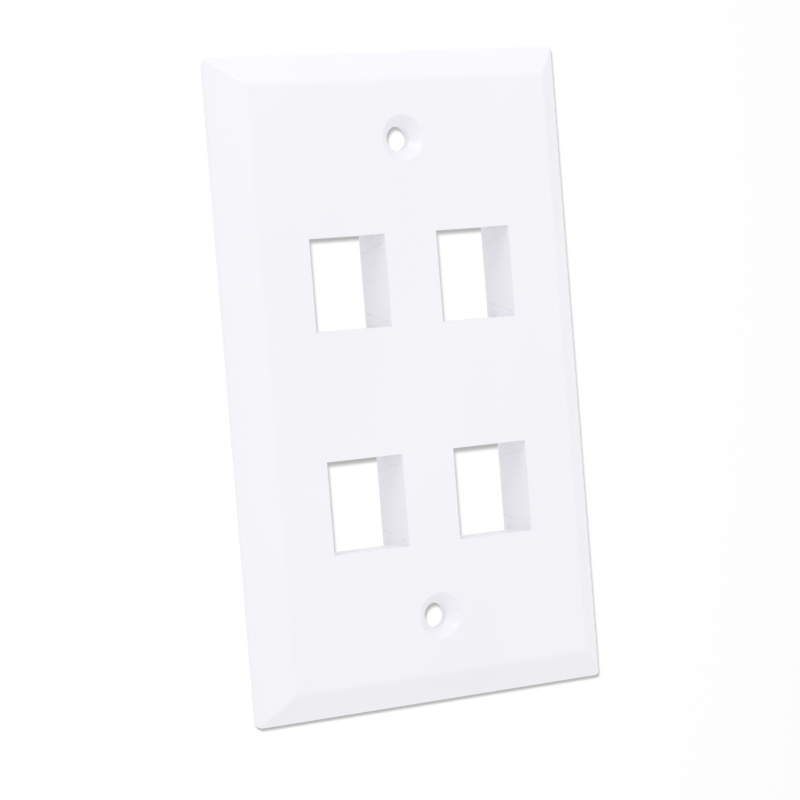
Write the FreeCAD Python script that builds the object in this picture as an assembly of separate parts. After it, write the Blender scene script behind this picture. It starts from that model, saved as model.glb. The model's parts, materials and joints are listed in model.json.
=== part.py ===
"""Four-port keystone faceplate for a single-gang wall box, moulded in one piece.

Frame: X to the right as seen from the front, Y from the front face into the wall, Z up.
The origin is on the wall plane, midway between the two screw holes. Sizes are in millimetres.
"""
import FreeCAD, Part
import math
import os

from FreeCAD import Vector

# Plate outline, seen from the front.
PLATE_WIDTH = 69.85
PLATE_HEIGHT = 114.3
CORNER_RADIUS = 1.4

# Section of the shell: flat face, sloped border, short upright edge down to the wall.
PLATE_DEPTH = 5.8           # front face to the wall plane
EDGE_HEIGHT = 1.2           # upright outer edge, from the wall plane
BORDER_WIDTH = 5.2          # border, from the outer edge to the face
BORDER_BOW = 0.15           # how far the middle of the slope stands out from a straight slope
BRINK_RADIUS = 2.0          # rounding where the slope meets the face
WALL = 2.2                  # thickness behind the face, and width of the land on the wall

# Ports: a grid of openings, set a little below the middle of the plate.
PORT_COLUMNS = 2
PORT_ROWS = 2
COLUMN_PITCH = 25.1
ROW_PITCH = 38.2
PORTS_DROP = 1.8            # middle of the grid below the middle of the plate
PORT_WIDTH = 14.8
PORT_HEIGHT = 16.05

# Section of one port. Depths run back from the front face.
PORT_DEPTH = 9.3            # back of the collar
COLLAR_WALL = 1.5
COLLAR_CORNER_RADIUS = 0.8
LATCH_SHELF = 4.0           # solid ledge above the jack, ahead of the latch pocket
LATCH_POCKET = 4.0          # height of the pocket that the jack's spring latch rises into
LATCH_LIP = 1.6             # thickness of the lip that the latch snaps behind
LATCH_OVERHANG = 2.0        # how far that lip closes the pocket
HOOK_SHELF = 6.6            # solid ledge below the jack, ahead of the hook groove
HOOK_POCKET = 2.0           # depth of the groove that the jack's fixed hook drops into
HOOK_LIP = 1.4              # thickness of the lip behind the hook
HOOK_OVERHANG = 1.2         # how far that lip closes the groove
LEAD_IN = 0.8               # chamfer on the back of both lips, which guides the jack in

# Screws: two countersunk holes on the centre line, each with a boss behind it.
SCREW_SPACING = 83.34
SCREW_HOLE_DIAMETER = 4.4
COUNTERSINK_DIAMETER = 8.1
COUNTERSINK_ANGLE = 90.0
BOSS_WALL = 1.0             # boss outside the countersink's mouth
BOSS_HEIGHT = 1.1           # boss behind the inside of the face

# Stiffening ribs behind the face: a spine on the centre line and one crossbar per row.
RIB_THICKNESS = 1.2
RIB_SETBACK = 0.8           # ribs stop this far short of the wall plane

TOLERANCE = 0.001           # lengths below this count as nothing

FRONT_Y = -PLATE_DEPTH
INNER_FACE_Y = FRONT_Y + WALL
MID_WALL_Y = FRONT_Y + WALL / 2
COLLAR_BACK_Y = FRONT_Y + PORT_DEPTH
PORTS_CENTRE_Z = -PORTS_DROP
BOSS_RADIUS = COUNTERSINK_DIAMETER / 2 + BOSS_WALL
BOSS_BACK_Y = INNER_FACE_Y + BOSS_HEIGHT


def bordered_bar(span, length):
    """Bar along Z, centred, with a flat front and a bowed slope down to an upright foot on each long side."""
    brink = Vector(span / 2 - BORDER_WIDTH, FRONT_Y)
    shoulder = Vector(span / 2, -EDGE_HEIGHT)
    slope = shoulder - brink
    outwards = Vector(slope.y, -slope.x).normalize()
    right = [brink, (brink + shoulder) / 2 + outwards * BORDER_BOW, shoulder]
    left = [Vector(-point.x, point.y) for point in right]
    right_foot, left_foot = Vector(span / 2, 0), Vector(-span / 2, 0)
    edges = [
        Part.makeLine(left[0], right[0]),
        Part.Arc(*right).toShape(),
        Part.makeLine(right[2], right_foot),
        Part.makeLine(right_foot, left_foot),
        Part.makeLine(left_foot, left[2]),
        Part.Arc(*reversed(left)).toShape(),
    ]
    bar = Part.Face(Part.Wire(edges)).extrude(Vector(0, 0, length))
    bar.translate(Vector(0, 0, -length / 2))
    brinks = [edge for edge in bar.Edges
              if edge.BoundBox.YMax < FRONT_Y + TOLERANCE and edge.BoundBox.ZLength > TOLERANCE]
    return bar.makeFillet(BRINK_RADIUS, brinks)


def hollow_bar(span, length):
    """Bar along Z, centred, with the section of the hollow, whose flanks run parallel to the border's slope."""
    reach = span / 2 - WALL
    flank = -INNER_FACE_Y * BORDER_WIDTH / (PLATE_DEPTH - EDGE_HEIGHT)
    right = [Vector(reach - flank, INNER_FACE_Y), Vector(reach, 0)]
    left = [Vector(-point.x, point.y) for point in reversed(right)]
    bar = Part.Face(Part.makePolygon(right + left + right[:1])).extrude(Vector(0, 0, length))
    bar.translate(Vector(0, 0, -length / 2))
    return bar


def rounded_prism(width, low_z, high_z, radius, front_y, back_y):
    """Block between two depths, centred on X, whose four edges along Y are rounded."""
    block = Part.makeBox(width, back_y - front_y, high_z - low_z, Vector(-width / 2, front_y, low_z))
    along_y = [edge for edge in block.Edges if edge.BoundBox.YLength > TOLERANCE]
    return block.makeFillet(radius, along_y)


def mitred(bar_maker):
    """Solid with one bar's section on all four sides of the plate, mitred at the corners."""
    upright = bar_maker(PLATE_WIDTH, PLATE_HEIGHT)
    crossways = bar_maker(PLATE_HEIGHT, PLATE_WIDTH)
    crossways.rotate(Vector(0, 0, 0), Vector(0, 1, 0), 90)
    return upright.common(crossways)


def port_places():
    """Centre of each opening, row by row."""
    columns = [(column - (PORT_COLUMNS - 1) / 2) * COLUMN_PITCH for column in range(PORT_COLUMNS)]
    rows = [PORTS_CENTRE_Z + (row - (PORT_ROWS - 1) / 2) * ROW_PITCH for row in range(PORT_ROWS)]
    return [Vector(x, 0, z) for z in rows for x in columns]


def port_collar():
    """Block round one port at the origin, from inside the face to the back of the port."""
    top = PORT_HEIGHT / 2 + LATCH_POCKET + COLLAR_WALL
    bottom = -(PORT_HEIGHT / 2 + HOOK_POCKET + COLLAR_WALL)
    return rounded_prism(PORT_WIDTH + 2 * COLLAR_WALL, bottom, top, COLLAR_CORNER_RADIUS,
                         MID_WALL_Y, COLLAR_BACK_Y)


def port_void():
    """Passage of one port at the origin: opening, latch pocket above and hook groove below."""
    half = PORT_HEIGHT / 2
    latch_tip = half + LATCH_POCKET - LATCH_OVERHANG
    hook_tip = -(half + HOOK_POCKET - HOOK_OVERHANG)
    back = PORT_DEPTH
    section = [
        (0, half),
        (LATCH_SHELF, half),
        (LATCH_SHELF, half + LATCH_POCKET),
        (back - LATCH_LIP, half + LATCH_POCKET),
        (back - LATCH_LIP, latch_tip),
        (back - LEAD_IN, latch_tip),
        (back, latch_tip + LEAD_IN),
        (back, hook_tip - LEAD_IN),
        (back - LEAD_IN, hook_tip),
        (back - HOOK_LIP, hook_tip),
        (back - HOOK_LIP, -(half + HOOK_POCKET)),
        (HOOK_SHELF, -(half + HOOK_POCKET)),
        (HOOK_SHELF, -half),
        (0, -half),
    ]
    left = -PORT_WIDTH / 2
    corners = [Vector(left, FRONT_Y + depth, z) for depth, z in section]
    return Part.Face(Part.makePolygon(corners + corners[:1])).extrude(Vector(PORT_WIDTH, 0, 0))


def screw_places():
    """Centre of each screw hole on the wall plane."""
    return [Vector(0, 0, side * SCREW_SPACING / 2) for side in (-1, 1)]


def cylinder_along_y(radius, front_y, back_y):
    """Cylinder between two depths on the Y axis."""
    return Part.makeCylinder(radius, back_y - front_y, Vector(0, front_y, 0), Vector(0, 1, 0))


def screw_boss():
    """Round boss behind one screw hole at the origin."""
    return cylinder_along_y(BOSS_RADIUS, MID_WALL_Y, BOSS_BACK_Y)


def screw_void():
    """Countersunk passage of one screw at the origin, with the ribs kept clear behind its boss."""
    mouth, bore = COUNTERSINK_DIAMETER / 2, SCREW_HOLE_DIAMETER / 2
    sink = (mouth - bore) / math.tan(math.radians(COUNTERSINK_ANGLE / 2))
    cone = Part.makeCone(mouth, bore, sink, Vector(0, FRONT_Y, 0), Vector(0, 1, 0))
    return cone.multiFuse([cylinder_along_y(bore, FRONT_Y, 0), cylinder_along_y(BOSS_RADIUS, BOSS_BACK_Y, 0)])


def ribs():
    """Spine on the centre line and one crossbar at each row, before they are trimmed to the shell."""
    depth = -RIB_SETBACK - MID_WALL_Y
    spine = Part.makeBox(RIB_THICKNESS, depth, PLATE_HEIGHT - WALL,
                         Vector(-RIB_THICKNESS / 2, MID_WALL_Y, -(PLATE_HEIGHT - WALL) / 2))
    bars = [Part.makeBox(PLATE_WIDTH - WALL, depth, RIB_THICKNESS,
                         Vector(-(PLATE_WIDTH - WALL) / 2, MID_WALL_Y, z - RIB_THICKNESS / 2))
            for z in sorted({place.z for place in port_places()})]
    return [spine] + bars


def placed(shape, places):
    """Copies of a shape, one at each place."""
    return [shape.translated(place) for place in places]


def faceplate():
    """The whole moulding."""
    slab = mitred(bordered_bar)
    outline = rounded_prism(PLATE_WIDTH, -PLATE_HEIGHT / 2, PLATE_HEIGHT / 2, CORNER_RADIUS, FRONT_Y, COLLAR_BACK_Y)
    stiffeners = [rib.common(slab) for rib in ribs()]
    collars = placed(port_collar(), port_places())
    bosses = placed(screw_boss(), screw_places())
    passages = placed(port_void(), port_places()) + placed(screw_void(), screw_places())
    body = slab.cut(mitred(hollow_bar)).multiFuse(stiffeners + collars + bosses)
    return body.cut(Part.makeCompound(passages)).common(outline).removeSplitter()


os.makedirs("parts", exist_ok=True)
plate = faceplate()
plate.exportStep("parts/faceplate.step")
print("faceplate: valid", plate.isValid(), "solids", len(plate.Solids), "volume", round(plate.Volume, 1), "mm3")
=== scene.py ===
"""Studio scene of a four-port keystone faceplate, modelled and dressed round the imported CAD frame.

Frame: X to the right as seen from the front, Y from the front face into the wall, Z up, in metres.
The plate is one moulding, so one piece is modelled here and stands for the one CAD node.
"""
import json
import logging
import math
from contextlib import contextmanager
from dataclasses import dataclass, field
from enum import Enum
from typing import Callable, Iterator

import bmesh
import bpy
from mathutils import Matrix, Vector

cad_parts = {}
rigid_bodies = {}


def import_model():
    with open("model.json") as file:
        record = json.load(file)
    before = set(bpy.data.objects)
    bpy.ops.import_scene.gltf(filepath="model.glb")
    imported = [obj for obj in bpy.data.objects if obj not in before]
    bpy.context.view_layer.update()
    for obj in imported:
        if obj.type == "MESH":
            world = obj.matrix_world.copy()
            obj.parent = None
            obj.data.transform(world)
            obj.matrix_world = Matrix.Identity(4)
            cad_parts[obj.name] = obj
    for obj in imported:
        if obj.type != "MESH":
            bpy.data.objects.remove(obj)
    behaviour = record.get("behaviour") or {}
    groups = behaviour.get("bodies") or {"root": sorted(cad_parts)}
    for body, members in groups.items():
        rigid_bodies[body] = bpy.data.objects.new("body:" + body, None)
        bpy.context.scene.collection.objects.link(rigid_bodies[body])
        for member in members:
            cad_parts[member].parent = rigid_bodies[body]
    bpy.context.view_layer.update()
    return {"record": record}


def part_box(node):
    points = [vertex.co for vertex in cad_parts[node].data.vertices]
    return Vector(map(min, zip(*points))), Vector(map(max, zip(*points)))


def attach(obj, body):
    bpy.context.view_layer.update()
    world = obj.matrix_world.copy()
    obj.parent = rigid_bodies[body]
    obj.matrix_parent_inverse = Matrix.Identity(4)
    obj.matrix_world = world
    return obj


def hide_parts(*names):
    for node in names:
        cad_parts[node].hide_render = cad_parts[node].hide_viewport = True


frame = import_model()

MM = 0.001
NODE = "faceplate"
# Cosine above which two directions count as the same.
SQUARELY = 0.999
LOG = logging.getLogger("faceplate_scene")


class Facing(Enum):
    """Directions that a face of the plate can look in."""

    FRONT = Vector((0, -1, 0))
    BACK = Vector((0, 1, 0))
    TOP = Vector((0, 0, 1))
    BOTTOM = Vector((0, 0, -1))


class Joining(Enum):
    """Ways in which one solid is combined with another."""

    ADD = "UNION"
    CUT = "DIFFERENCE"
    KEEP_COMMON = "INTERSECT"


class Zone(Enum):
    """Parts of the moulding's surface, by the half of the mould that formed them."""

    CAVITY_SIDE = 0
    CORE_SIDE = 1


# ---------------------------------------------------------------- modelling helpers


def take_up(obj: bpy.types.Object) -> None:
    """Selects one object alone and makes it the active one.

    Args:
        obj: The object that the next operators act on.
    """
    for other in bpy.context.view_layer.objects:
        other.select_set(False)
    obj.select_set(True)
    bpy.context.view_layer.objects.active = obj


@contextmanager
def editing(obj: bpy.types.Object) -> Iterator[None]:
    """Holds an object in edit mode with nothing selected.

    Args:
        obj: The mesh object to edit.
    """
    take_up(obj)
    bpy.ops.object.mode_set(mode="EDIT")
    bpy.ops.mesh.select_all(action="DESELECT")
    yield
    bpy.ops.object.mode_set(mode="OBJECT")


def pick_faces(obj: bpy.types.Object, wanted: Callable[[bmesh.types.BMFace], bool]) -> None:
    """Selects the faces that pass a test, and only those.

    Args:
        obj: The mesh object in edit mode.
        wanted: Says whether a face is selected.
    """
    bpy.ops.mesh.select_mode(type="FACE")
    bpy.ops.mesh.select_all(action="DESELECT")
    mesh = bmesh.from_edit_mesh(obj.data)
    for face in mesh.faces:
        face.select_set(wanted(face))
    bmesh.update_edit_mesh(obj.data)


def pick_edges(obj: bpy.types.Object, wanted: Callable[[bmesh.types.BMEdge], bool]) -> None:
    """Selects the edges that pass a test, and only those.

    Args:
        obj: The mesh object in edit mode.
        wanted: Says whether an edge is selected.
    """
    bpy.ops.mesh.select_mode(type="EDGE")
    bpy.ops.mesh.select_all(action="DESELECT")
    mesh = bmesh.from_edit_mesh(obj.data)
    for edge in mesh.edges:
        edge.select_set(wanted(edge))
    bmesh.update_edit_mesh(obj.data)


def looks(face: bmesh.types.BMFace, way: Facing) -> bool:
    """Whether a face looks squarely in one direction."""
    return face.normal.dot(way.value) > SQUARELY


def runs_along_y(edge: bmesh.types.BMEdge) -> bool:
    """Whether an edge runs straight back from the front."""
    along = edge.verts[1].co - edge.verts[0].co
    return abs(along.y) > SQUARELY * along.length


def push(x: float = 0.0, y: float = 0.0, z: float = 0.0) -> None:
    """Extrudes the selected faces by a step."""
    bpy.ops.mesh.extrude_region_move(TRANSFORM_OT_translate={"value": (x, y, z)})


def slice_at(depth: float) -> None:
    """Cuts the whole mesh in edit mode across Y at a depth, without dividing it.

    Args:
        depth: The place on Y of the cut.
    """
    bpy.ops.mesh.select_all(action="SELECT")
    bpy.ops.mesh.bisect(plane_co=(0, depth, 0), plane_no=(0, 1, 0))


def block(name: str, low: Vector, high: Vector) -> bpy.types.Object:
    """Adds a block between two corners.

    Args:
        name: The new object's name.
        low: The lowest corner.
        high: The highest corner.

    Returns:
        The block, with its size and place in its mesh.
    """
    bpy.ops.mesh.primitive_cube_add(size=1, location=(low + high) / 2)
    obj = bpy.context.object
    obj.name = name
    obj.scale = high - low
    take_up(obj)
    bpy.ops.object.transform_apply(location=True, rotation=True, scale=True)
    return obj


def rounded_block(name: str, low: Vector, high: Vector, radius: float,
                  segments: int) -> bpy.types.Object:
    """Adds a block whose four edges along Y are rounded.

    Args:
        name: The new object's name.
        low: The lowest corner.
        high: The highest corner.
        radius: The radius of the rounding.
        segments: The facets of each rounded corner.

    Returns:
        The rounded block.
    """
    obj = block(name, low, high)
    with editing(obj):
        pick_edges(obj, runs_along_y)
        bpy.ops.mesh.bevel(offset=radius, segments=segments, profile=0.5, affect="EDGES")
    return obj


def copies_at(obj: bpy.types.Object, places: list[Vector]) -> bpy.types.Object:
    """Repeats an object, each copy with its own mesh, and joins the copies.

    Args:
        obj: The object modelled at the origin, which is used up.
        places: Where each copy goes.

    Returns:
        One object that holds every copy.
    """
    copies = []
    for place in places:
        copy = obj.copy()
        copy.data = obj.data.copy()
        copy.data.transform(Matrix.Translation(place))
        bpy.context.collection.objects.link(copy)
        copies.append(copy)
    bpy.data.objects.remove(obj)
    take_up(copies[0])
    for copy in copies:
        copy.select_set(True)
    bpy.ops.object.join()
    return copies[0]


def combine(body: bpy.types.Object, tool: bpy.types.Object, how: Joining) -> None:
    """Combines a body with a tool and uses the tool up.

    Args:
        body: The object that is changed.
        tool: The object that is added, cut away or kept in common.
        how: The way in which they are combined.
    """
    modifier = body.modifiers.new(how.name.lower(), "BOOLEAN")
    modifier.operation = how.value
    modifier.object = tool
    modifier.solver = "EXACT"
    take_up(body)
    bpy.ops.object.modifier_apply(modifier=modifier.name)
    bpy.data.objects.remove(tool)


def arc(centre: Vector, first: Vector, turn: float, steps: int) -> list[Vector]:
    """Lays out an arc in a plane, clockwise, with both of its ends.

    Args:
        centre: The arc's centre.
        first: The way from the centre to the arc's first point.
        turn: The angle that the arc covers.
        steps: The number of its straight pieces.

    Returns:
        The points of the arc.
    """
    return [centre + Matrix.Rotation(-turn * step / steps, 2) @ first for step in range(steps + 1)]


# ---------------------------------------------------------------- the moulding's sub-assemblies


@dataclass
class BorderedShell:
    """Hollow plate, whose flat face has a border that slopes down to a short upright edge."""

    width: float
    height: float
    depth: float
    edge: float = 1.2 * MM
    border: float = 5.2 * MM
    bow: float = 0.15 * MM
    brink: float = 2.0 * MM
    wall: float = 2.2 * MM
    corner: float = 1.4 * MM
    slope_steps: int = 6
    brink_steps: int = 8
    mitre_softening: float = 0.4 * MM
    mitre_segments: int = 4
    mitre_crease: float = math.radians(6)
    mitre_tolerance: float = 0.005 * MM
    corner_segments: int = 10

    @property
    def inner_face(self) -> float:
        """Place on Y of the inside of the face."""
        return self.wall - self.depth

    def profile(self) -> list[Vector]:
        """Lays out the border's section from the upright edge to the flat face.

        Returns:
            Points of inset from the outer edge and height over the wall plane.
        """
        shoulder, corner = Vector((0, self.edge)), Vector((self.border, self.depth))
        chord = corner - shoulder
        radius = (chord.length ** 2 / 4 + self.bow ** 2) / (2 * self.bow)
        inwards = Vector((chord.y, -chord.x)).normalized()
        slope_centre = (shoulder + corner) / 2 + inwards * (radius - self.bow)
        lift = self.depth - self.brink - slope_centre.y
        brink_centre = Vector((slope_centre.x - math.sqrt((radius - self.brink) ** 2 - lift ** 2),
                               self.depth - self.brink))
        first = shoulder - slope_centre
        meeting = (brink_centre - slope_centre).normalized()
        slope_turn = meeting.angle(first)
        brink_turn = meeting.angle(Vector((0, 1)))
        slope = arc(slope_centre, first, slope_turn, self.slope_steps)
        return slope + arc(brink_centre, meeting * self.brink, brink_turn, self.brink_steps)[1:]

    def slab(self) -> bpy.types.Object:
        """Models the plate's outer form, solid right through and square at its corners.

        Returns:
            The slab, with its mitres softened.
        """
        half = Vector((self.width / 2, 0, self.height / 2))
        slab = block("moulded_faceplate", Vector((-half.x, -self.edge, -half.z)), half)
        points = self.profile()
        with editing(slab):
            pick_faces(slab, lambda face: looks(face, Facing.FRONT))
            for start, end in zip(points, points[1:]):
                bpy.ops.mesh.inset(thickness=end.x - start.x, depth=end.y - start.y)
            pick_edges(slab, self.is_mitre)
            bpy.ops.mesh.bevel(offset=self.mitre_softening, segments=self.mitre_segments,
                               profile=0.5, affect="EDGES", clamp_overlap=True)
        return slab

    def build(self) -> bpy.types.Object:
        """Models the shell by hollowing the slab and rounding its corners.

        Returns:
            The shell, open on the wall side.
        """
        shell = self.slab()
        flank = -self.inner_face * self.border / (self.depth - self.edge)
        with editing(shell):
            pick_faces(shell, lambda face: looks(face, Facing.BACK))
            bpy.ops.mesh.inset(thickness=self.wall, depth=0)
            bpy.ops.mesh.inset(thickness=flank, depth=self.inner_face)
        combine(shell, self.outline(), Joining.KEEP_COMMON)
        return shell

    def is_mitre(self, edge: bmesh.types.BMEdge) -> bool:
        """Whether an edge lies on a diagonal where two sides of the border meet.

        Args:
            edge: An edge of the slab.

        Returns:
            True for the edges of the four mitres.
        """
        first, second = (vert.co for vert in edge.verts)
        return (edge.calc_face_angle(0) > self.mitre_crease
                and abs(first.x - second.x) > self.mitre_tolerance
                and self.is_on_diagonal(first) and self.is_on_diagonal(second))

    def is_on_diagonal(self, place: Vector) -> bool:
        """Whether a place of the border lies as far from the plate's side as from its end.

        Args:
            place: The place of a corner of the slab's mesh.

        Returns:
            True on the four diagonals, in front of the upright edge's middle.
        """
        from_side = self.width / 2 - abs(place.x)
        from_end = self.height / 2 - abs(place.z)
        return place.y < -self.edge / 2 and abs(from_side - from_end) < self.mitre_tolerance

    def covers_border(self, place: Vector) -> bool:
        """Whether a place lies in the band of the sloped border, seen from the front."""
        return (abs(place.x) > self.width / 2 - self.border
                or abs(place.z) > self.height / 2 - self.border)

    def outline(self) -> bpy.types.Object:
        """Models a block with the plate's outline and rounded corners.

        Returns:
            The block, deeper than the plate.
        """
        low = Vector((-self.width / 2, -2 * self.depth, -self.height / 2))
        return rounded_block("outline", low, -low, self.corner, self.corner_segments)


@dataclass
class KeystonePort:
    """One port: its collar behind the face, and the passage that a jack snaps into."""

    width: float
    height: float
    front: float
    back: float
    wall: float = 1.5 * MM
    corner: float = 0.8 * MM
    corner_segments: int = 5
    latch_shelf: float = 4.0 * MM
    latch_pocket: float = 4.0 * MM
    latch_lip: float = 1.6 * MM
    latch_overhang: float = 2.0 * MM
    hook_shelf: float = 6.6 * MM
    hook_pocket: float = 2.0 * MM
    hook_lip: float = 1.4 * MM
    hook_overhang: float = 1.2 * MM
    lead_in: float = 0.8 * MM
    margin: float = 1.0 * MM
    tolerance: float = 0.01 * MM
    line_radius: float = 0.14 * MM
    line_rise: float = 0.04 * MM
    line_segments: int = 16
    line_front: float = 0.9 * MM
    line_back: float = 8.8 * MM
    upper_line_gaps: tuple[float, float] = (1.65 * MM, 3.15 * MM)
    lower_line_gaps: tuple[float, float] = (0.85 * MM, 2.6 * MM)

    def collar(self, root: float) -> bpy.types.Object:
        """Models the collar as a block that the passage is later cut through.

        Args:
            root: The place on Y, inside the face's wall, where the collar starts.

        Returns:
            The collar of a port at the origin.
        """
        half = self.width / 2 + self.wall
        low = Vector((-half, root, -(self.height / 2 + self.hook_pocket + self.wall)))
        high = Vector((half, self.back, self.height / 2 + self.latch_pocket + self.wall))
        return rounded_block("collar", low, high, self.corner, self.corner_segments)

    def passage(self) -> bpy.types.Object:
        """Models the space of the opening, with the latch pocket above and the hook groove below.

        Returns:
            The passage of a port at the origin, longer than the port at both ends.
        """
        low = Vector((-self.width / 2, self.front - self.margin, -self.height / 2))
        high = Vector((self.width / 2, self.back + self.margin, self.height / 2))
        latch_start, latch_end = self.front + self.latch_shelf, self.back - self.latch_lip
        hook_start, hook_end = self.front + self.hook_shelf, self.back - self.hook_lip
        passage = block("passage", low, high)
        with editing(passage):
            for depth in (latch_start, hook_start, latch_end, hook_end, self.back - self.lead_in):
                slice_at(depth)
            self.step_out(passage, Facing.TOP, latch_start, high.y,
                          self.latch_pocket - self.latch_overhang)
            self.step_out(passage, Facing.TOP, latch_start, latch_end, self.latch_overhang)
            self.step_out(passage, Facing.BOTTOM, hook_start, high.y,
                          self.hook_pocket - self.hook_overhang)
            self.step_out(passage, Facing.BOTTOM, hook_start, hook_end, self.hook_overhang)
            self.flare(passage, high.y)
        return passage

    def step_out(self, passage: bpy.types.Object, way: Facing, start: float, end: float,
                 amount: float) -> None:
        """Moves a stretch of the passage's top or bottom outwards.

        Args:
            passage: The passage, in edit mode.
            way: Which side moves.
            start: The stretch's front end on Y.
            end: The stretch's back end on Y.
            amount: How far the stretch moves.
        """
        def moves(face: bmesh.types.BMFace) -> bool:
            """Whether a face belongs to the stretch."""
            middle = face.calc_center_median()
            return looks(face, way) and start < middle.y < end and abs(middle.x) < self.tolerance

        pick_faces(passage, moves)
        push(z=way.value.z * amount)

    def flare(self, passage: bpy.types.Object, end: float) -> None:
        """Slopes the back of both lips, which guides a jack in.

        Args:
            passage: The passage, in edit mode.
            end: The place on Y of the passage's far end.
        """
        slope = end - (self.back - self.lead_in)
        for outwards in (Facing.TOP.value.z, Facing.BOTTOM.value.z):
            pick_edges(passage, lambda edge: all(
                abs(vert.co.y - end) < self.tolerance and vert.co.z * outwards > self.height / 2
                for vert in edge.verts))
            bpy.ops.transform.translate(value=(0, 0, outwards * slope))

    def witness_line(self, wall_x: float, side: int, gaps: tuple[float, float]) -> bpy.types.Object:
        """Adds one fine rounded line that runs back along a side wall.

        Args:
            wall_x: The place on X of the line.
            side: 1 for a line below the opening's top edge, or -1 for one above its bottom edge.
            gaps: How far the line's front and back ends lie from that edge.

        Returns:
            The line.
        """
        start, end = (Vector(point) for point in zip((self.line_front, self.line_back), gaps))
        middle, run = (start + end) / 2, end - start
        bpy.ops.mesh.primitive_cylinder_add(
            vertices=self.line_segments, radius=self.line_radius, depth=run.length,
            location=(wall_x, self.front + middle.x, side * (self.height / 2 - middle.y)),
            rotation=(math.pi / 2 - side * math.atan2(run.y, run.x), 0, 0))
        return bpy.context.object

    def witness_lines(self) -> bpy.types.Object:
        """Models the fine lines on both side walls, where the two cores of the mould met.

        Returns:
            The lines of a port at the origin, each sunk most of the way into its wall.
        """
        sunk = self.width / 2 + self.line_radius - self.line_rise
        lines = [self.witness_line(wall_x, side, gaps)
                 for side, gaps in ((1, self.upper_line_gaps), (-1, self.lower_line_gaps))
                 for wall_x in (-sunk, sunk)]
        take_up(lines[0])
        for line in lines:
            line.select_set(True)
        bpy.ops.object.join()
        bpy.ops.object.transform_apply(location=True, rotation=True, scale=True)
        return lines[0]


@dataclass
class ScrewSeat:
    """One screw's place: a countersunk hole through the face and a round boss behind it."""

    bore: float
    front: float
    mouth: float = 4.05 * MM
    boss_wall: float = 1.0 * MM
    boss_height: float = 1.1 * MM
    segments: int = 64
    margin: float = 1.0 * MM

    def ring(self, name: str, radius: float, depth: float) -> bpy.types.Object:
        """Adds a filled circle across Y at the origin.

        Args:
            name: The new object's name.
            radius: The circle's radius.
            depth: The circle's place on Y.

        Returns:
            The filled circle, looking to the front.
        """
        bpy.ops.mesh.primitive_circle_add(vertices=self.segments, radius=radius, fill_type="NGON",
                                          location=(0, depth, 0), rotation=(math.pi / 2, 0, 0))
        obj = bpy.context.object
        obj.name = name
        take_up(obj)
        bpy.ops.object.transform_apply(location=True, rotation=True, scale=True)
        return obj

    def turned(self, name: str, profile: list[tuple[float, float]]) -> bpy.types.Object:
        """Models a round solid by extruding and resizing a circle.

        Args:
            name: The new object's name.
            profile: Place on Y and radius of each ring, from the front.

        Returns:
            The closed round solid.
        """
        depth, radius = profile[0]
        obj = self.ring(name, radius, depth)
        with editing(obj):
            bpy.ops.mesh.select_all(action="SELECT")
            for next_depth, next_radius in profile[1:]:
                push(y=next_depth - depth)
                grow = next_radius / radius
                bpy.ops.transform.resize(value=(grow, 1, grow), center_override=(0, next_depth, 0))
                depth, radius = next_depth, next_radius
            bpy.ops.mesh.select_all(action="SELECT")
            bpy.ops.mesh.normals_make_consistent(inside=False)
        return obj

    def boss(self, root: float, inner_face: float) -> bpy.types.Object:
        """Round boss, from inside the wall to its back."""
        radius = self.mouth + self.boss_wall
        return self.turned("boss", [(root, radius), (inner_face + self.boss_height, radius)])

    def passage(self, inner_face: float) -> bpy.types.Object:
        """Countersunk hole, widened behind the boss where the ribs stay clear of the screw.

        Args:
            inner_face: The place on Y of the inside of the face.

        Returns:
            The passage of a screw at the origin.
        """
        sink = self.mouth - self.bore
        back = inner_face + self.boss_height
        clear = self.mouth + self.boss_wall
        return self.turned("screw_passage", [
            (self.front - self.margin, self.mouth + self.margin),
            (self.front + sink, self.bore),
            (back, self.bore),
            (back, clear),
            (self.margin, clear),
        ])


@dataclass
class Stiffeners:
    """Low ribs behind the face: a spine on the centre line and one crossbar per row of ports."""

    width: float
    height: float
    root: float
    thickness: float = 1.2 * MM
    setback: float = 0.8 * MM
    bite: float = 1.1 * MM

    def bar(self, name: str, half_x: float, half_z: float, z: float) -> bpy.types.Object:
        """Adds one rib, centred on X.

        Args:
            name: The new object's name.
            half_x: Half of its width.
            half_z: Half of its height.
            z: Its middle on Z.

        Returns:
            The rib.
        """
        low = Vector((-half_x, self.root, z - half_z))
        return block(name, low, Vector((half_x, -self.setback, z + half_z)))

    def build(self, rows: list[float]) -> list[bpy.types.Object]:
        """Models the ribs.

        Args:
            rows: The middle of each row of ports on Z.

        Returns:
            The spine and the crossbars.
        """
        half = self.thickness / 2
        spine = self.bar("spine", half, self.height / 2 - self.bite, 0)
        return [spine] + [self.bar("crossbar", self.width / 2 - self.bite, half, z) for z in rows]


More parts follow.
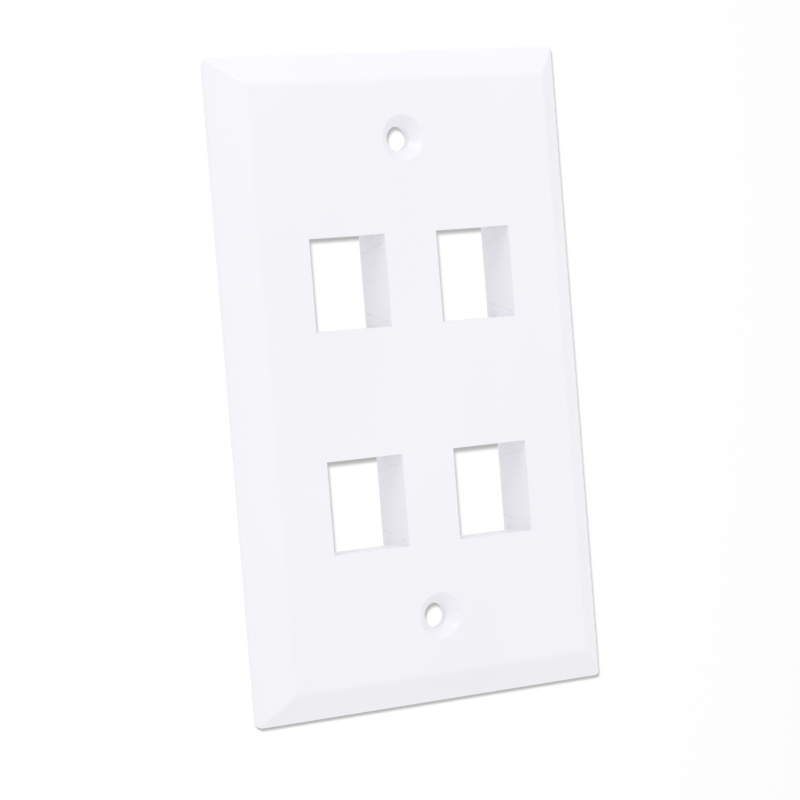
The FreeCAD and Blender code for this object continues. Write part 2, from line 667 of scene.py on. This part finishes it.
@dataclass
class EdgeSoftening:
    """Fine radii that moulding leaves on sharp edges."""

    radius: float = 0.16 * MM
    segments: int = 3
    least_angle: float = math.radians(38)
    merge_distance: float = 0.002 * MM
    flatness: float = math.radians(0.2)

    def round_off(self, piece: bpy.types.Object) -> None:
        """Rounds the sharp edges of the finished solid.

        Args:
            piece: The moulding, as one closed solid.
        """
        with editing(piece):
            bpy.ops.mesh.select_all(action="SELECT")
            bpy.ops.mesh.remove_doubles(threshold=self.merge_distance)
            bpy.ops.mesh.dissolve_limited(angle_limit=self.flatness)
            mesh = bmesh.from_edit_mesh(piece.data)
            weight = mesh.edges.layers.float.new("bevel_weight_edge")
            for edge in mesh.edges:
                edge[weight] = float(edge.calc_face_angle(0) > self.least_angle)
            bmesh.update_edit_mesh(piece.data)
        bevel = piece.modifiers.new("softened edges", "BEVEL")
        bevel.limit_method = "WEIGHT"
        bevel.width = self.radius
        bevel.segments = self.segments
        bevel.use_clamp_overlap = True
        take_up(piece)
        bpy.ops.object.modifier_apply(modifier=bevel.name)

    def smooth(self, piece: bpy.types.Object) -> None:
        """Shades the piece smooth, with its flat faces kept flat.

        Args:
            piece: The moulding, with its edges rounded.
        """
        take_up(piece)
        bpy.ops.object.shade_smooth()
        normals = piece.modifiers.new("flat faces stay flat", "WEIGHTED_NORMAL")
        bpy.ops.object.modifier_apply(modifier=normals.name)


@dataclass
class Faceplate:
    """The whole moulding, put together from its shell, ports, screw seats and ribs."""

    record: dict
    box: tuple[Vector, Vector]
    softening: EdgeSoftening = field(default_factory=EdgeSoftening)
    opening_clearance: float = 0.03 * MM
    rib_bite: float = 0.3 * MM
    zone_margin: float = 0.2 * MM
    back_turned: float = 0.5
    row_digits: int = 6
    port_boxes: list[list[list[float]]] = field(init=False)
    screw_spacing: float = field(init=False)
    root: float = field(init=False)
    shell: BorderedShell = field(init=False)
    port: KeystonePort = field(init=False)
    seat: ScrewSeat = field(init=False)
    stiffeners: Stiffeners = field(init=False)

    def __post_init__(self) -> None:
        """Reads the sizes that the frame gives and sets up the sub-assemblies."""
        low, high = self.box
        self.port_boxes = [opening["box_m"] for opening in self.record["physics"]["openings"]]
        screws = next(mount for mount in self.record["mounts"] if mount["name"] == "screw_holes")
        self.screw_spacing = screws["dims"]["spacing_y_mm"] * MM
        self.shell = BorderedShell(high.x - low.x, high.z - low.z, -low.y)
        first_low, first_high = (Vector(corner) for corner in self.port_boxes[0])
        self.port = KeystonePort(first_high.x - first_low.x + 2 * self.opening_clearance,
                                 first_high.z - first_low.z + 2 * self.opening_clearance,
                                 low.y, high.y)
        self.seat = ScrewSeat(screws["dims"]["hole_r_mm"] * MM, low.y)
        self.root = low.y + self.shell.wall / 2
        self.stiffeners = Stiffeners(self.shell.width, self.shell.height,
                                     self.shell.inner_face - self.rib_bite)

    def port_places(self) -> list[Vector]:
        """Centre of each port, with Y left at zero."""
        return [Vector(((low[0] + high[0]) / 2, 0, (low[2] + high[2]) / 2))
                for low, high in self.port_boxes]

    def screw_places(self) -> list[Vector]:
        """Centre of each screw hole, with Y left at zero."""
        return [Vector((0, 0, side * self.screw_spacing / 2)) for side in (-1, 1)]

    def build(self) -> bpy.types.Object:
        """Models the moulding.

        Returns:
            The finished piece, closed and with its place in its mesh.
        """
        body = self.shell.build()
        LOG.info("shell: %d faces", len(body.data.polygons))
        rows = sorted({round(place.z, self.row_digits) for place in self.port_places()})
        for rib in self.stiffeners.build(rows):
            combine(rib, self.shell.slab(), Joining.KEEP_COMMON)
            combine(body, rib, Joining.ADD)
        combine(body, copies_at(self.port.collar(self.root), self.port_places()), Joining.ADD)
        boss = self.seat.boss(self.root, self.shell.inner_face)
        combine(body, copies_at(boss, self.screw_places()), Joining.ADD)
        LOG.info("ribs, collars and bosses: %d faces", len(body.data.polygons))
        combine(body, copies_at(self.port.passage(), self.port_places()), Joining.CUT)
        passage = self.seat.passage(self.shell.inner_face)
        combine(body, copies_at(passage, self.screw_places()), Joining.CUT)
        LOG.info("ports and screw holes: %d faces", len(body.data.polygons))
        self.softening.round_off(body)
        combine(body, copies_at(self.port.witness_lines(), self.port_places()), Joining.ADD)
        self.softening.smooth(body)
        LOG.info("softened edges: %d faces", len(body.data.polygons))
        return body

    def dress(self, piece: bpy.types.Object, finishes_with_painted_shade: dict[Zone, "MouldedPlastic"]) -> None:
        """Gives each zone of the surface its finish, and the core side a painted shade: its white is
        a little darker.

        Args:
            piece: The moulding.
            finishes_with_painted_shade: The finish of each zone, the core side's with painted shade.
        """
        piece.data.materials.clear()
        for zone in Zone:
            piece.data.materials.append(finishes_with_painted_shade[zone].build())
        for face in piece.data.polygons:
            face.material_index = self.zone(face).value

    def zone(self, face: bpy.types.MeshPolygon) -> Zone:
        """Tells which half of the mould formed a face.

        Args:
            face: A face of the moulding.

        Returns:
            The core side behind the plate's wall, apart from the outside of the border.
        """
        behind = face.center.y > self.shell.inner_face - self.zone_margin
        outside = self.shell.covers_border(face.center) and face.normal.y < self.back_turned
        return Zone.CORE_SIDE if behind and not outside else Zone.CAVITY_SIDE


# ---------------------------------------------------------------- finishes, one with painted shade


def add_node(tree: bpy.types.NodeTree, kind: str, **settings: object) -> bpy.types.Node:
    """Adds a node and sets its properties.

    Args:
        tree: The node tree.
        kind: The node's type.
        **settings: Properties of the node by name.

    Returns:
        The new node.
    """
    node = tree.nodes.new(kind)
    for name, value in settings.items():
        setattr(node, name, value)
    return node


def group_tree(name: str, inputs: dict[str, float | None],
               outputs: list[str]) -> bpy.types.NodeTree:
    """Starts a shader node group.

    Args:
        name: The group's name.
        inputs: Each input's default value, or None for a vector.
        outputs: The names of its number outputs.

    Returns:
        The group, holding only its input and output nodes.
    """
    tree = bpy.data.node_groups.new(name, "ShaderNodeTree")
    for label, value in inputs.items():
        kind = "NodeSocketVector" if value is None else "NodeSocketFloat"
        socket = tree.interface.new_socket(name=label, in_out="INPUT", socket_type=kind)
        if value is not None:
            socket.default_value = value
    for label in outputs:
        tree.interface.new_socket(name=label, in_out="OUTPUT", socket_type="NodeSocketFloat")
    tree.nodes.new("NodeGroupInput")
    tree.nodes.new("NodeGroupOutput")
    return tree


def ends(tree: bpy.types.NodeTree) -> tuple[bpy.types.Node, bpy.types.Node]:
    """Input and output nodes of a group."""
    return tree.nodes["Group Input"], tree.nodes["Group Output"]


def flow_tone_group() -> bpy.types.NodeTree:
    """Builds the group for the faint tone that melt flow leaves in a moulding.

    Returns:
        The group, whose Tone runs from 0 to 1 in soft upright clouds.
    """
    tree = group_tree("flow tone", {"Vector": None, "Scale": 40.0}, ["Tone"])
    source, sink = ends(tree)
    stretch = add_node(tree, "ShaderNodeVectorMath", operation="MULTIPLY")
    stretch.inputs[1].default_value = (1.0, 1.0, 0.45)
    noise = add_node(tree, "ShaderNodeTexNoise")
    noise.inputs["Detail"].default_value = 3.0
    noise.inputs["Roughness"].default_value = 0.45
    shape = add_node(tree, "ShaderNodeMapRange")
    shape.inputs["From Min"].default_value = 0.3
    shape.inputs["From Max"].default_value = 0.7
    tree.links.new(source.outputs["Vector"], stretch.inputs[0])
    tree.links.new(stretch.outputs[0], noise.inputs["Vector"])
    tree.links.new(source.outputs["Scale"], noise.inputs["Scale"])
    tree.links.new(noise.outputs["Fac"], shape.inputs["Value"])
    tree.links.new(shape.outputs["Result"], sink.inputs["Tone"])
    return tree


def mould_grain_group() -> bpy.types.NodeTree:
    """Builds the group for the fine texture that a mould's steel prints on plastic.

    Returns:
        The group, which puts out the grain's Height and the Rub of faint handling marks.
    """
    tree = group_tree("mould grain", {"Vector": None, "Grain Scale": 4000.0, "Rub Scale": 120.0},
                      ["Height", "Rub"])
    source, sink = ends(tree)
    grain = add_node(tree, "ShaderNodeTexNoise")
    grain.inputs["Detail"].default_value = 4.0
    grain.inputs["Roughness"].default_value = 0.6
    swell = add_node(tree, "ShaderNodeTexNoise")
    swell.inputs["Scale"].default_value = 260.0
    swell.inputs["Detail"].default_value = 1.0
    blend = add_node(tree, "ShaderNodeMix", data_type="FLOAT")
    blend.inputs["Factor"].default_value = 0.65
    rub = add_node(tree, "ShaderNodeTexNoise")
    rub.inputs["Detail"].default_value = 6.0
    rub.inputs["Distortion"].default_value = 1.5
    marks = add_node(tree, "ShaderNodeMapRange")
    marks.inputs["From Min"].default_value = 0.52
    marks.inputs["From Max"].default_value = 0.78
    for noise in (grain, swell, rub):
        tree.links.new(source.outputs["Vector"], noise.inputs["Vector"])
    tree.links.new(source.outputs["Grain Scale"], grain.inputs["Scale"])
    tree.links.new(source.outputs["Rub Scale"], rub.inputs["Scale"])
    tree.links.new(grain.outputs["Fac"], blend.inputs["A"])
    tree.links.new(swell.outputs["Fac"], blend.inputs["B"])
    tree.links.new(blend.outputs["Result"], sink.inputs["Height"])
    tree.links.new(rub.outputs["Fac"], marks.inputs["Value"])
    tree.links.new(marks.outputs["Result"], sink.inputs["Rub"])
    return tree


def shared_group(name: str, maker: Callable[[], bpy.types.NodeTree]) -> bpy.types.NodeTree:
    """The group of this name, built the first time that it is asked for."""
    return bpy.data.node_groups.get(name) or maker()


@dataclass(frozen=True)
class MouldedPlastic:
    """White plastic as one half of the mould leaves it, in the colours given; the core side's copy
    is painted a shade darker, which is painted shade.
    """

    name: str
    colour: tuple[float, float, float]
    shade: tuple[float, float, float]
    roughness: float
    rub_roughness: float
    grain_scale: float
    grain_height: float
    bump_strength: float = 0.35
    ior: float = 1.52

    def build(self) -> bpy.types.Material:
        """Makes the material.

        Returns:
            The material, which reads Object coordinates only.
        """
        material = bpy.data.materials.new(self.name)
        material.use_nodes = True
        tree = material.node_tree
        shader = tree.nodes["Principled BSDF"]
        shader.inputs["IOR"].default_value = self.ior
        place = add_node(tree, "ShaderNodeTexCoord")
        tone = add_node(tree, "ShaderNodeGroup",
                        node_tree=shared_group("flow tone", flow_tone_group))
        grain = add_node(tree, "ShaderNodeGroup",
                         node_tree=shared_group("mould grain", mould_grain_group))
        grain.inputs["Grain Scale"].default_value = self.grain_scale
        colour = add_node(tree, "ShaderNodeMix", data_type="RGBA")
        colour.inputs["A"].default_value = (*self.shade, 1)
        colour.inputs["B"].default_value = (*self.colour, 1)
        gloss = add_node(tree, "ShaderNodeMapRange")
        gloss.inputs["To Min"].default_value = self.roughness
        gloss.inputs["To Max"].default_value = self.rub_roughness
        bump = add_node(tree, "ShaderNodeBump")
        bump.inputs["Strength"].default_value = self.bump_strength
        bump.inputs["Distance"].default_value = self.grain_height
        for group in (tone, grain):
            tree.links.new(place.outputs["Object"], group.inputs["Vector"])
        tree.links.new(tone.outputs["Tone"], colour.inputs["Factor"])
        tree.links.new(colour.outputs["Result"], shader.inputs["Base Color"])
        tree.links.new(grain.outputs["Rub"], gloss.inputs["Value"])
        tree.links.new(gloss.outputs["Result"], shader.inputs["Roughness"])
        tree.links.new(grain.outputs["Height"], bump.inputs["Height"])
        tree.links.new(bump.outputs["Normal"], shader.inputs["Normal"])
        return material


POLISHED = MouldedPlastic(
    name="white plastic, polished side",
    colour=(0.905, 0.897, 0.943),
    shade=(0.885, 0.877, 0.924),
    roughness=0.3,
    rub_roughness=0.4,
    grain_scale=3200.0,
    grain_height=0.02 * MM,
)
# The core side's white is a shade darker than the polished side's: painted shade on the port walls
# and the back. Its rougher surface and deeper grain are real.
AS_MOULDED_PAINTED_DARKER = MouldedPlastic(
    name="white plastic, core side, painted darker",
    colour=(0.885, 0.878, 0.92),
    shade=(0.862, 0.855, 0.897),
    roughness=0.5,
    rub_roughness=0.6,
    grain_scale=2400.0,
    grain_height=0.05 * MM,
)


# ---------------------------------------------------------------- stage, lights and camera


@dataclass
class Backdrop:
    """Plain white sheet just behind the plate, seen only from its front, with its own lamp."""

    plate_back: float
    gap: float = 5 * MM
    size: float = 3.0
    glow: float = 0.44
    reflectance: float = 0.05
    lamp_place: tuple[float, float, float] = (-0.262, -0.446, 0.043)
    lamp_radius: float = 14 * MM
    lamp_watts: float = 495.0

    def build(self) -> None:
        """Adds the sheet, hidden from shadow, diffuse and glossy rays, and its lamp."""
        bpy.ops.mesh.primitive_plane_add(size=self.size,
                                         location=(0, self.plate_back + self.gap, 0),
                                         rotation=(math.pi / 2, 0, 0))
        sheet = bpy.context.object
        sheet.name = "backdrop"
        sheet.data.materials.append(self.material())
        sheet.visible_shadow = False
        sheet.visible_diffuse = False
        sheet.visible_glossy = False
        lit = bpy.data.collections.new("lit by the backdrop lamp")
        lit.objects.link(sheet)
        self.lamp().light_linking.receiver_collection = lit

    def lamp(self) -> bpy.types.Object:
        """Adds a small lamp near the lens, which draws the plate's thin shadow on the sheet.

        Returns:
            The lamp.
        """
        data = bpy.data.lights.new("backdrop lamp", "POINT")
        data.energy = self.lamp_watts
        data.shadow_soft_size = self.lamp_radius
        data.use_nodes = True
        tree = data.node_tree
        falloff = add_node(tree, "ShaderNodeLightFalloff")
        falloff.inputs["Strength"].default_value = 1.0
        tree.links.new(falloff.outputs["Constant"], tree.nodes["Emission"].inputs["Strength"])
        lamp = bpy.data.objects.new("backdrop lamp", data)
        lamp.location = self.lamp_place
        bpy.context.collection.objects.link(lamp)
        return lamp

    def material(self) -> bpy.types.Material:
        """Makes a white that glows from the front, is darker in shadow and clear from behind.

        Returns:
            The material.
        """
        material = bpy.data.materials.new("backdrop white")
        material.use_nodes = True
        tree = material.node_tree
        tree.nodes.remove(tree.nodes["Principled BSDF"])
        glow = add_node(tree, "ShaderNodeEmission")
        glow.inputs["Strength"].default_value = self.glow
        matt = add_node(tree, "ShaderNodeBsdfDiffuse")
        matt.inputs["Color"].default_value = (self.reflectance,) * 3 + (1,)
        white = add_node(tree, "ShaderNodeAddShader")
        clear = add_node(tree, "ShaderNodeBsdfTransparent")
        side = add_node(tree, "ShaderNodeNewGeometry")
        mix = add_node(tree, "ShaderNodeMixShader")
        tree.links.new(glow.outputs["Emission"], white.inputs[0])
        tree.links.new(matt.outputs["BSDF"], white.inputs[1])
        tree.links.new(side.outputs["Backfacing"], mix.inputs["Fac"])
        tree.links.new(white.outputs["Shader"], mix.inputs[1])
        tree.links.new(clear.outputs["BSDF"], mix.inputs[2])
        tree.links.new(mix.outputs["Shader"], tree.nodes["Material Output"].inputs["Surface"])
        return material


@dataclass(frozen=True)
class Softbox:
    """Square soft lamp aimed at the middle of the plate."""

    name: str
    place: tuple[float, float, float]
    size: float
    watts: float

    def build(self) -> None:
        """Adds the lamp, turned to the middle of the plate."""
        data = bpy.data.lights.new(self.name, "AREA")
        data.shape = "SQUARE"
        data.size = self.size
        data.energy = self.watts
        lamp = bpy.data.objects.new(self.name, data)
        lamp.location = self.place
        lamp.rotation_mode = "QUATERNION"
        lamp.rotation_quaternion = (-lamp.location).to_track_quat("-Z", "Y")
        bpy.context.collection.objects.link(lamp)


@dataclass
class StudioLight:
    """White light tent with three weak softboxes, where the tent itself shows as plain white."""

    level: float = 0.922
    softboxes: tuple[Softbox, ...] = (
        Softbox("left softbox", (-0.68, -0.42, 0.68), size=0.35, watts=1.0),
        Softbox("top softbox", (0.0, -0.28, 0.45), size=0.4, watts=0.24),
        Softbox("lower softbox", (-0.25, -0.45, -0.6), size=0.4, watts=0.12),
    )

    def build(self) -> None:
        """Sets the world and adds the softboxes."""
        world = bpy.data.worlds.new("studio")
        bpy.context.scene.world = world
        world.use_nodes = True
        tree = world.node_tree
        tent = tree.nodes["Background"]
        tent.inputs["Color"].default_value = (1, 1, 1, 1)
        tent.inputs["Strength"].default_value = self.level
        shown = add_node(tree, "ShaderNodeBackground")
        shown.inputs["Color"].default_value = (1, 1, 1, 1)
        path = add_node(tree, "ShaderNodeLightPath")
        direct = add_node(tree, "ShaderNodeMath", operation="ADD", use_clamp=True)
        through = add_node(tree, "ShaderNodeMath", operation="ADD", use_clamp=True)
        mix = add_node(tree, "ShaderNodeMixShader")
        tree.links.new(path.outputs["Is Camera Ray"], direct.inputs[0])
        tree.links.new(path.outputs["Is Glossy Ray"], direct.inputs[1])
        tree.links.new(direct.outputs["Value"], through.inputs[0])
        tree.links.new(path.outputs["Is Transmission Ray"], through.inputs[1])
        tree.links.new(through.outputs["Value"], mix.inputs["Fac"])
        tree.links.new(tent.outputs["Background"], mix.inputs[1])
        tree.links.new(shown.outputs["Background"], mix.inputs[2])
        tree.links.new(mix.outputs["Shader"], tree.nodes["World Output"].inputs["Surface"])
        for softbox in self.softboxes:
            softbox.build()


@dataclass
class StudioCamera:
    """Long lens to the left of the plate, a little above its middle and slightly rolled."""

    front: float
    aim_x: float = -4.74 * MM
    aim_z: float = -3.53 * MM
    distance: float = 500.3 * MM
    azimuth: float = math.radians(29.47)
    elevation: float = math.radians(2.26)
    roll: float = math.radians(4.55)
    lens: float = 130.13
    sensor: float = 36.0
    nearest: float = 0.01
    farthest: float = 20.0

    def build(self) -> None:
        """Adds the camera and makes it the scene's."""
        data = bpy.data.cameras.new("studio camera")
        data.lens = self.lens
        data.sensor_width = self.sensor
        camera = bpy.data.objects.new("studio camera", data)
        bpy.context.collection.objects.link(camera)
        flat = math.cos(self.elevation)
        forward = Vector((math.sin(self.azimuth) * flat, math.cos(self.azimuth) * flat,
                          -math.sin(self.elevation)))
        camera.rotation_mode = "QUATERNION"
        camera.rotation_quaternion = (Matrix.Rotation(self.roll, 4, forward).to_quaternion()
                                      @ forward.to_track_quat("-Z", "Y"))
        camera.location = Vector((self.aim_x, self.front, self.aim_z)) - forward * self.distance
        data.clip_start, data.clip_end = self.nearest, self.farthest
        bpy.context.scene.camera = camera


# ---------------------------------------------------------------- the scene


def main() -> None:
    """Builds the piece, its stage, lights and camera, in that order."""
    logging.basicConfig(level=logging.INFO, format="%(name)s: %(message)s")
    bpy.context.scene.view_settings.view_transform = "Standard"
    low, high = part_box(NODE)
    faceplate = Faceplate(frame["record"], (low, high))
    piece = faceplate.build()
    faceplate.dress(piece, {Zone.CAVITY_SIDE: POLISHED, Zone.CORE_SIDE: AS_MOULDED_PAINTED_DARKER})
    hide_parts(NODE)
    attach(piece, "root")
    LOG.info("%s: %d faces, rides on root", piece.name, len(piece.data.polygons))
    Backdrop(high.y).build()
    StudioLight().build()
    StudioCamera(low.y).build()
    LOG.info("backdrop, lights and camera are set")


if __name__ == "__main__":
    main()
